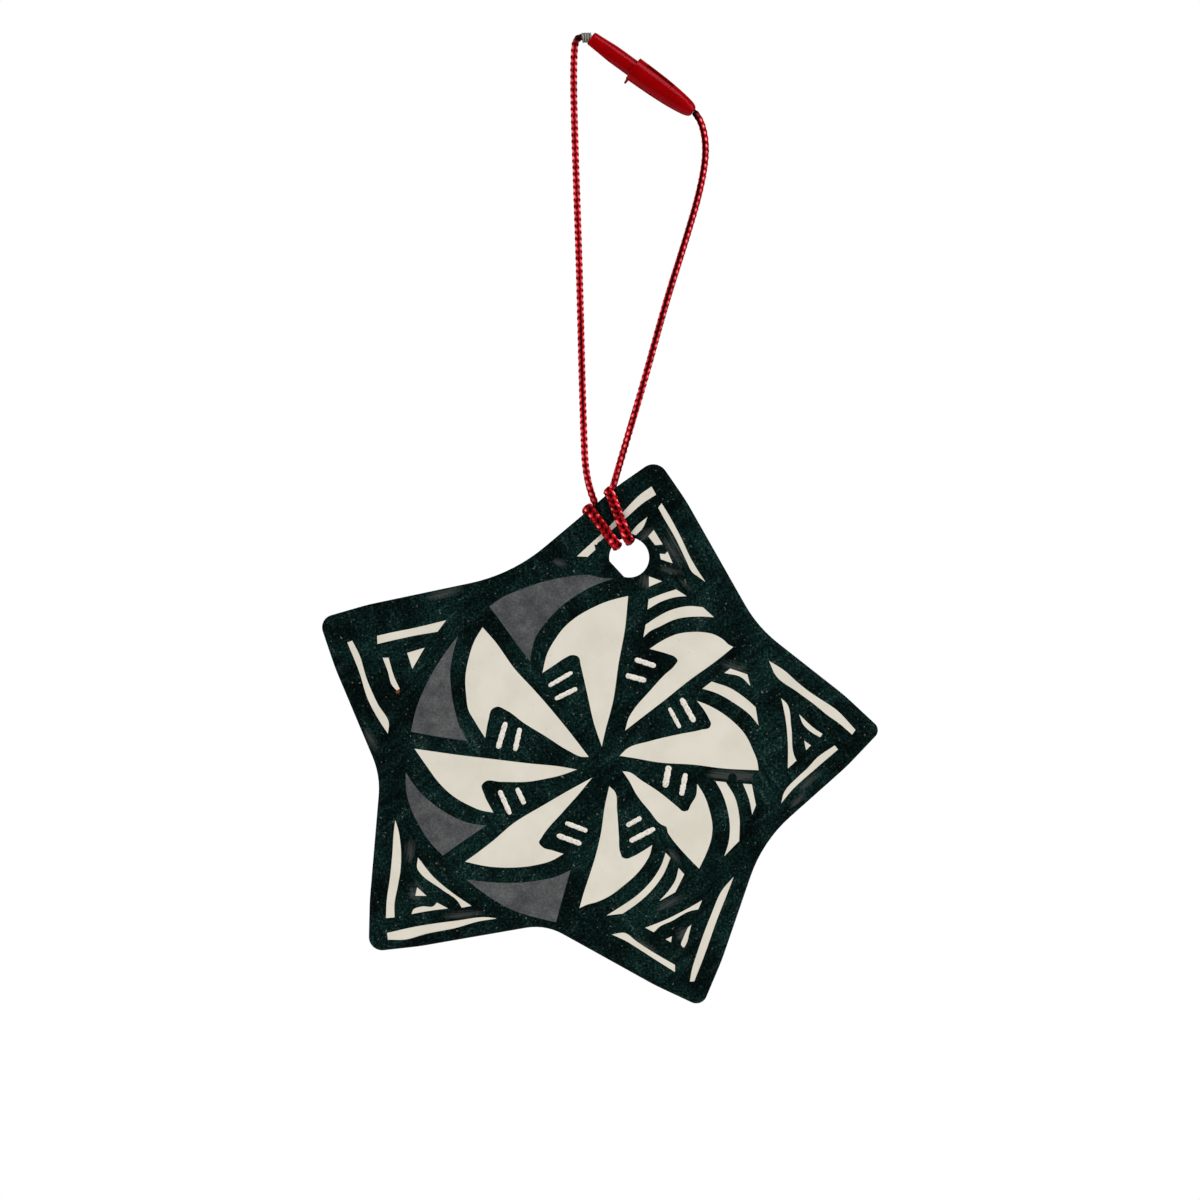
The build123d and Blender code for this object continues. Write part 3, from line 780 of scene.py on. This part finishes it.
slipLook = dict(
    wash=(0.045, 0.052, 0.05), clay=(0.2, 0.045, 0.02), speck=(0.13, 0.135, 0.115),
    # grey smears left by the brush: right of and above the hub, half length, half width, turn, strength
    washes=[
        (9.7, 29.5, 4.2, 0.3, -61, 0.8), (9.3, 28.7, 3.4, 1.3, -62, 0.55), (9.0, 26.3, 2.4, 0.9, -15, 0.5),
        (10.9, 24.4, 2.0, 0.7, -45, 0.4), (5.6, 24.8, 1.3, 1.4, 80, 0.8), (5.6, 31.2, 1.9, 0.8, 40, 0.7),
        (17.5, -1.3, 4.6, 0.95, -4, 1.25), (17.6, 13.3, 2.6, 1.1, -20, 0.6),
        (27.6, -1.9, 2.8, 0.9, 42, 0.6), (26.0, -4.6, 1.9, 0.7, 38, 0.75), (9.4, -12.2, 1.8, 0.8, -60, 0.6),
        (8.8, -18.4, 2.8, 0.9, 25, 0.7), (5.4, -24.2, 3.0, 0.7, -33, 0.7),
        (10.5, -22.5, 1.4, 1.2, 30, 0.75), (-25.3, -17.0, 1.5, 1.8, 0, 0.7),
        (-18.9, -20.0, 3.8, 0.8, 4, 0.7), (-26.2, -11.4, 2.2, 1.1, 80, 0.65),
        (-21.5, 23.3, 3.4, 1.2, 12, 0.65), (-6.0, 27.3, 1.4, 0.8, -30, 0.7),
        (-31.4, 3.5, 2.4, 0.9, -65, 0.65),
    ],
    # black again over the smears, and a spot where the clay shows through
    blobs=[(17.2, -1.7, 0.95, 0.8, 90, 1.4), (20.4, -1.6, 0.8, 0.7, 90, 1.4)],
    bare=[(-27.85, 10.0, 0.42, 0.34, 60, 1.6)],
)


def addSmears(tree, place, view, smears, streaky=0.0):
    # 1 - distance from each smear's middle, in its own half length and half width, times its strength;
    # the strength may waver in lines that run along the smear; the greatest of them all
    total = None
    for x, z, half, wide, turn, strength in smears:
        local = tree.nodes.new("ShaderNodeMapping")
        local.vector_type = "TEXTURE"
        local.inputs["Location"].default_value = (view["hub"][0] + x, view["face"], view["hub"][1] + z)
        local.inputs["Rotation"].default_value = (0, -np.radians(turn), 0)
        local.inputs["Scale"].default_value = (half, 2.0, wide)
        tree.links.new(place, local.inputs["Vector"])
        ball = tree.nodes.new("ShaderNodeTexGradient")
        ball.gradient_type = "SPHERICAL"
        tree.links.new(local.outputs["Vector"], ball.inputs["Vector"])
        if streaky:
            lines = addNoise(tree, local.outputs["Vector"], 1.0, 3.0, 0.6, stretch=(1.4, 1.0, 0.28))
            waver = addMath(tree, "MULTIPLY", addMath(tree, "SUBTRACT", lines, 0.5), streaky * strength)
            strength = addMath(tree, "ADD", waver, strength)
        level = addMath(tree, "MULTIPLY", ball.outputs["Fac"], strength)
        total = addMath(tree, "MAXIMUM", total, level) if total else level
    return total


def blackSlip(look, view):
    # greenish black with brush streaks that turn with the strokes, clouds, fine grain,
    # pale specks and grey smears
    material, tree, shader, place = startMaterial("blackSlip", Roughness=0.6, Specular_IOR_Level=0.03)
    streaks = addNoise(tree, place, 0.9, 4.0, 0.6, stretch=(4.0, 1.0, 0.7), turn=-0.7)
    crossed = addNoise(tree, place, 0.9, 4.0, 0.6, stretch=(4.0, 1.0, 0.7), turn=1.05)
    where = addRamp(tree, addNoise(tree, place, 0.11, 1.0), (0.46, (0, 0, 0)), (0.54, (1, 1, 1)))
    brushed = addMix(tree, where, streaks, crossed)
    tone = addRamp(
        tree, brushed, (0.35, (0.0006, 0.0048, 0.0042)), (0.58, (0.0019, 0.0115, 0.0098)),
        (0.78, (0.011, 0.027, 0.024)),
    )
    clouds = addNoise(tree, place, 0.2, 2.0)
    clouds = addRamp(tree, clouds, (0.36, (0.5, 0.55, 0.55)), (0.66, (2.0, 1.7, 1.7)))
    grain = addRamp(
        tree, addNoise(tree, place, 3.2, 3.0, 0.7), (0.36, (0.05, 0.1, 0.1)), (0.52, (0.9, 0.95, 0.95)),
        (0.7, (6.0, 4.0, 4.0)),
    )
    grained = addMix(tree, 1.0, addMix(tree, 1.0, tone, clouds, "MULTIPLY"), grain, "MULTIPLY")
    specks = addRamp(tree, addNoise(tree, place, 3.0, 2.0, 0.4), (0.715, (0, 0, 0)), (0.76, (1, 1, 1)))
    specked = addMix(tree, specks, grained, look["speck"])
    rough = addMath(tree, "SUBTRACT", addNoise(tree, place, 2.6, 4.0, 0.7), 0.5)
    rough = addMath(tree, "MULTIPLY", rough, 0.5)
    smears = addMath(tree, "ADD", addSmears(tree, place, view, look["washes"], streaky=5.0), rough)
    smears = addRamp(tree, smears, (0.12, (0, 0, 0)), (0.7, (0.9, 0.9, 0.9)))
    smeared = addMix(tree, smears, specked, look["wash"])
    blobs = addRamp(tree, addSmears(tree, place, view, look["blobs"]), (0.25, (0, 0, 0)), (0.45, (1, 1, 1)))
    covered = addMix(tree, blobs, smeared, grained)
    bare = addRamp(tree, addSmears(tree, place, view, look["bare"]), (0.3, (0, 0, 0)), (0.6, (1, 1, 1)))
    tree.links.new(addMix(tree, bare, covered, look["clay"]), shader.inputs["Base Color"])
    addBump(tree, shader, brushed, 0.2, 0.06)
    return material


def dressNode(name, material):
    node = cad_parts[name]
    node.data.materials.clear()
    node.data.materials.append(material)


dressNode("star_body", blackSlip(slipLook, faceView))
paintPatches("creamPaint", [blades, stripes, pointLines], faceView, creamSlip())
paintPatches("greyPaint", [greyPanels], faceView, greySlip())
dashRidges("chalkDashes", dashes, faceView, chalkDash())
print("star painted")


# snap lock, turned about its own axis from the plug's outer end

lockAxis = dict(end=(1.115, 0.0, 1.116), fall=35.9, sides=144, spacing=0.12, sharp=38)
plugShape = dict(
    profile=[  # along the axis, and radius
        (0.0, 0.0), (0.0, 0.74), (0.03, 0.86), (0.12, 0.94), (0.3, 0.98), (1.0, 1.015), (2.0, 1.08),
        (3.0, 1.16), (3.8, 1.2), (5.0, 1.205), (7.2, 1.2), (7.28, 1.18), (7.3, 1.14), (7.3, 0.7),
        (10.3, 0.7), (10.3, 0.86), (10.34, 0.9), (12.1, 0.46), (12.2, 0.38), (12.2, 0.0),
    ],
)
socketShape = dict(
    profile=[
        (12.6, 0.0), (12.6, 1.15), (10.3, 1.15), (10.3, 0.98), (7.4, 0.98), (7.4, 1.23), (7.03, 1.23),
        (7.0, 1.26), (7.0, 1.6), (7.03, 1.67), (7.1, 1.7), (8.0, 1.695), (9.0, 1.68), (10.2, 1.65),
        (11.5, 1.605), (12.6, 1.54), (12.68, 1.515), (12.76, 1.53), (13.8, 1.44), (14.8, 1.325),
        (15.6, 1.21), (16.2, 1.09), (16.6, 0.95), (16.85, 0.8), (17.0, 0.63), (17.05, 0.45), (17.05, 0.0),
    ],
    slot=dict(low=8.3, high=12.9, middle=1.12, half=0.26, depth=0.4, side=0.05, end=0.15, outside=1.35),
    nub=dict(along=7.3, root=1.3, tip=2.3, wide=0.25, thin=0.13, sides=12, dim=0.6),
)
sleeveShape = dict(
    length=1.15, radius=0.68, ridge=0.05, ridges=3.5, lean=0.1, sag=0.14, bore=0.54, sides=40,
)


def lockPlace(along, radius, angle, v):
    # turned point: along the axis, up by radius*sin and towards the viewer by radius*cos
    fall = np.radians(v["fall"])
    run = np.array((np.cos(fall), 0, -np.sin(fall)))
    up = np.array((np.sin(fall), 0, np.cos(fall)))
    near = np.array((0, -1, 0))
    turned = np.cos(angle)[..., None] * near + np.sin(angle)[..., None] * up
    return np.array(v["end"]) + along[..., None] * run + radius[..., None] * turned


def slotShare(along, radius, angle, s):
    # 1 down in the slot, falling to 0 at its sides and ends, on the outside of the wall only
    off = (angle - s["middle"] + np.pi) % (2 * np.pi) - np.pi
    inside = np.clip((s["half"] - np.abs(off)) / s["side"], 0, 1)
    for past in (along - s["low"], s["high"] - along):
        inside = inside * np.clip(past / s["end"], 0, 1)
    return inside * (radius > s["outside"])


def nubRings(n, v):
    # a small cone below the mouth: a wide circle at the root and a thin one at the tip
    around = np.linspace(0, 2 * np.pi, n["sides"], endpoint=False)
    wide = np.array((n["wide"], n["thin"]))[:, None]
    down = np.array((n["root"], n["tip"]))[:, None] + 0 * around
    rings = lockPlace(n["along"] + wide * np.cos(around), down, np.full(down.shape, -np.pi / 2), v)
    return rings + (wide * np.sin(around))[..., None] * np.array((0, 1, 0))


def turnedPiece(name, shape, v, material):
    # the profile, divided evenly and turned about the axis;
    # a slot is pressed in and a nub added where the shape has them
    profile = np.array(shape["profile"])
    reach = np.r_[0, np.cumsum(np.linalg.norm(np.diff(profile, axis=0), axis=1))]
    fine = np.unique(np.r_[reach, np.arange(0, reach[-1], v["spacing"])])
    along, radius = [np.interp(fine, reach, column)[:, None] for column in profile.T]
    angle = np.linspace(0, 2 * np.pi, v["sides"], endpoint=False)[None, :]
    along, radius, angle = np.broadcast_arrays(along, radius, angle)
    shade = np.zeros(angle.shape)
    if "slot" in shape:
        shade = slotShare(along, radius, angle, shape["slot"])
        radius = radius - shape["slot"]["depth"] * shade
    verts = lockPlace(along, radius, angle, v).reshape(-1, 3)
    faces = gridFaces(*angle.shape)
    shade = shade.ravel()
    if "nub" in shape:
        n = shape["nub"]
        faces += gridFaces(2, n["sides"], len(verts)) + endCaps(2, n["sides"], len(verts))[1:]
        verts = np.concatenate((verts, nubRings(n, v).reshape(-1, 3)))
        shade = np.r_[shade, np.repeat((0.0, n["dim"]), n["sides"])]
    piece = putMesh(name, verts, faces, [material])
    # 1 down in the slot, painted shade for the dark hollow behind it; a lesser value on the nub's tip, its
    # own darker colour
    putValues(piece, "shade", shade)  # 1 down in the slot, where the hollow is dark
    piece.data.set_sharp_from_angle(angle=np.radians(v["sharp"]))
    return piece


def lockPlastic():
    material, tree, shader, place = startMaterial(
        "lockPlastic", Roughness=0.14, Specular_IOR_Level=0.12, Specular_Tint=(1, 0.45, 0.7, 1),
    )
    tint = addNoise(tree, place, 0.5, 2.0)
    tint = addRamp(tree, tint, (0.3, (0.26, 0.0002, 0.0008)), (0.7, (0.31, 0.0003, 0.0012)))
    # painted shade down in the slot; the nub's tip darker in its own colour
    shaded = addMix(tree, addAttribute(tree, "shade"), tint, (0.02, 0.001, 0.0))
    tree.links.new(shaded, shader.inputs["Base Color"])
    addBump(tree, shader, addNoise(tree, place, 0.7, 1.0), 0.05, 0.04)
    return material


def paleSleeve():
    material, tree, shader, place = startMaterial("paleSleeve", Roughness=0.45, Specular_IOR_Level=0.4)
    ridge = addAttribute(tree, "ridge")
    tone = addRamp(tree, ridge, (0.15, (0.05, 0.06, 0.05)), (0.7, (0.33, 0.335, 0.305)))
    dirt = addRamp(tree, addNoise(tree, place, 3.0), (0.35, (0.6, 0.6, 0.58)), (0.65, (1, 1, 1)))
    tree.links.new(addMix(tree, 1.0, tone, dirt, "MULTIPLY"), shader.inputs["Base Color"])
    return material


def makeSleeve(v, reach, line, material):
    # ridged tube: radius + ridge*cos along the cord, its rings leaning and sagging off the cord,
    # then back through the bore
    line = line[:int(np.searchsorted(reach, v["length"])) + 1]
    across, beside = leastTurnFrames(line)[1:]
    t = np.linspace(0, 1, len(line))[:, None]
    around = np.linspace(0, 2 * np.pi, v["sides"], endpoint=False)
    wave = np.cos(2 * np.pi * v["ridges"] * (t + v["lean"] * np.sin(around)))
    spoke = np.cos(around)[:, None] * across[:, None] + np.sin(around)[:, None] * beside[:, None]
    rings = line[:, None] + (v["radius"] + v["ridge"] * wave)[..., None] * spoke
    rings[..., 2] -= v["sag"] * t
    bore = (line[:, None] + v["bore"] * spoke)[::-1]
    loop = np.concatenate((rings, bore, rings[:1]))
    piece = putMesh("ridgedSleeve", loop.reshape(-1, 3), gridFaces(len(loop), v["sides"]), [material])
    height = 0.5 + 0.5 * wave
    putValues(piece, "ridge", np.concatenate((height, 0 * wave, height[:1])))  # 1 on a ridge, 0 in the valley
    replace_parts(piece, "cord_sleeve")
    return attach(piece, "loop")


red = lockPlastic()
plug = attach(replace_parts(turnedPiece("plug", plugShape, lockAxis, red), "snap_plug"), "plug")
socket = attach(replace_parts(turnedPiece("socket", socketShape, lockAxis, red), "snap_socket"), "socket")
sleeve = makeSleeve(sleeveShape, cordReach, cordLine, paleSleeve())
hangOnCord(plug, sleeve, socket)
print("lock made")


# pale floor below the view, soft studio light

studio = dict(
    floorDrop=-185.0, floorRadius=170.0, floorSides=96, worldSeen=1.0, worldLight=0.44, worldShine=0.02,
    lightsAim=(2.4, 0, -75),
)
lights = dict(
    left=dict(place=(-930, -430, 150), size=950, power=5.6),
    right=dict(place=(930, -430, 150), size=950, power=5.6),
    top=dict(place=(440, -330, 600), size=480, power=2.6),
    back=dict(place=(120, 720, 220), size=500, power=0.3),
)


def makeFloor(v):
    # a flat round sheet
    around = np.linspace(0, 2 * np.pi, v["floorSides"], endpoint=False)
    rim = v["floorRadius"] * np.column_stack((np.cos(around), np.sin(around), 0 * around))
    rim[:, 2] = v["floorDrop"]
    material, tree, shader, place = startMaterial("paleFloor", Roughness=0.8)
    tone = addRamp(tree, addNoise(tree, place, 0.02), (0.3, (0.8, 0.8, 0.79)), (0.7, (0.84, 0.84, 0.83)))
    tree.links.new(tone, shader.inputs["Base Color"])
    putMesh("floor", rim, [list(range(len(rim)))], [material], smooth=False)


def makeWorld(v):
    world = bpy.data.worlds.new("paleRoom")
    world.use_nodes = True
    tree = world.node_tree
    tree.nodes.clear()
    ray = tree.nodes.new("ShaderNodeLightPath")
    out = tree.nodes.new("ShaderNodeOutputWorld")
    last = None
    skies = ((v["worldLight"], None), (v["worldShine"], "Is Glossy Ray"), (v["worldSeen"], "Is Camera Ray"))
    for strength, when in skies:
        sky = tree.nodes.new("ShaderNodeBackground")
        sky.inputs["Color"].default_value = (1, 1, 1, 1)
        sky.inputs["Strength"].default_value = strength
        if when:
            mix = tree.nodes.new("ShaderNodeMixShader")
            tree.links.new(ray.outputs[when], mix.inputs[0])
            tree.links.new(last.outputs[0], mix.inputs[1])
            tree.links.new(sky.outputs[0], mix.inputs[2])
            last = mix
        else:
            last = sky
    tree.links.new(last.outputs[0], out.inputs[0])
    bpy.context.scene.world = world


def makeLight(name, v, target):
    lamp = bpy.data.lights.new(name, "AREA")
    lamp.shape = "DISK"
    lamp.size = v["size"] * mm
    lamp.energy = v["power"]
    holder = bpy.data.objects.new(name, lamp)
    place = np.array(v["place"], float)
    away = place - np.array(target)
    flat = np.hypot(away[0], away[1])
    holder.location = place * mm
    holder.rotation_euler = (np.arctan2(flat, away[2]), 0, np.arctan2(away[0], -away[1]))
    bpy.context.scene.collection.objects.link(holder)


makeFloor(studio)
makeWorld(studio)
for name, v in lights.items():
    makeLight(name, v, studio["lightsAim"])
print("studio lit")
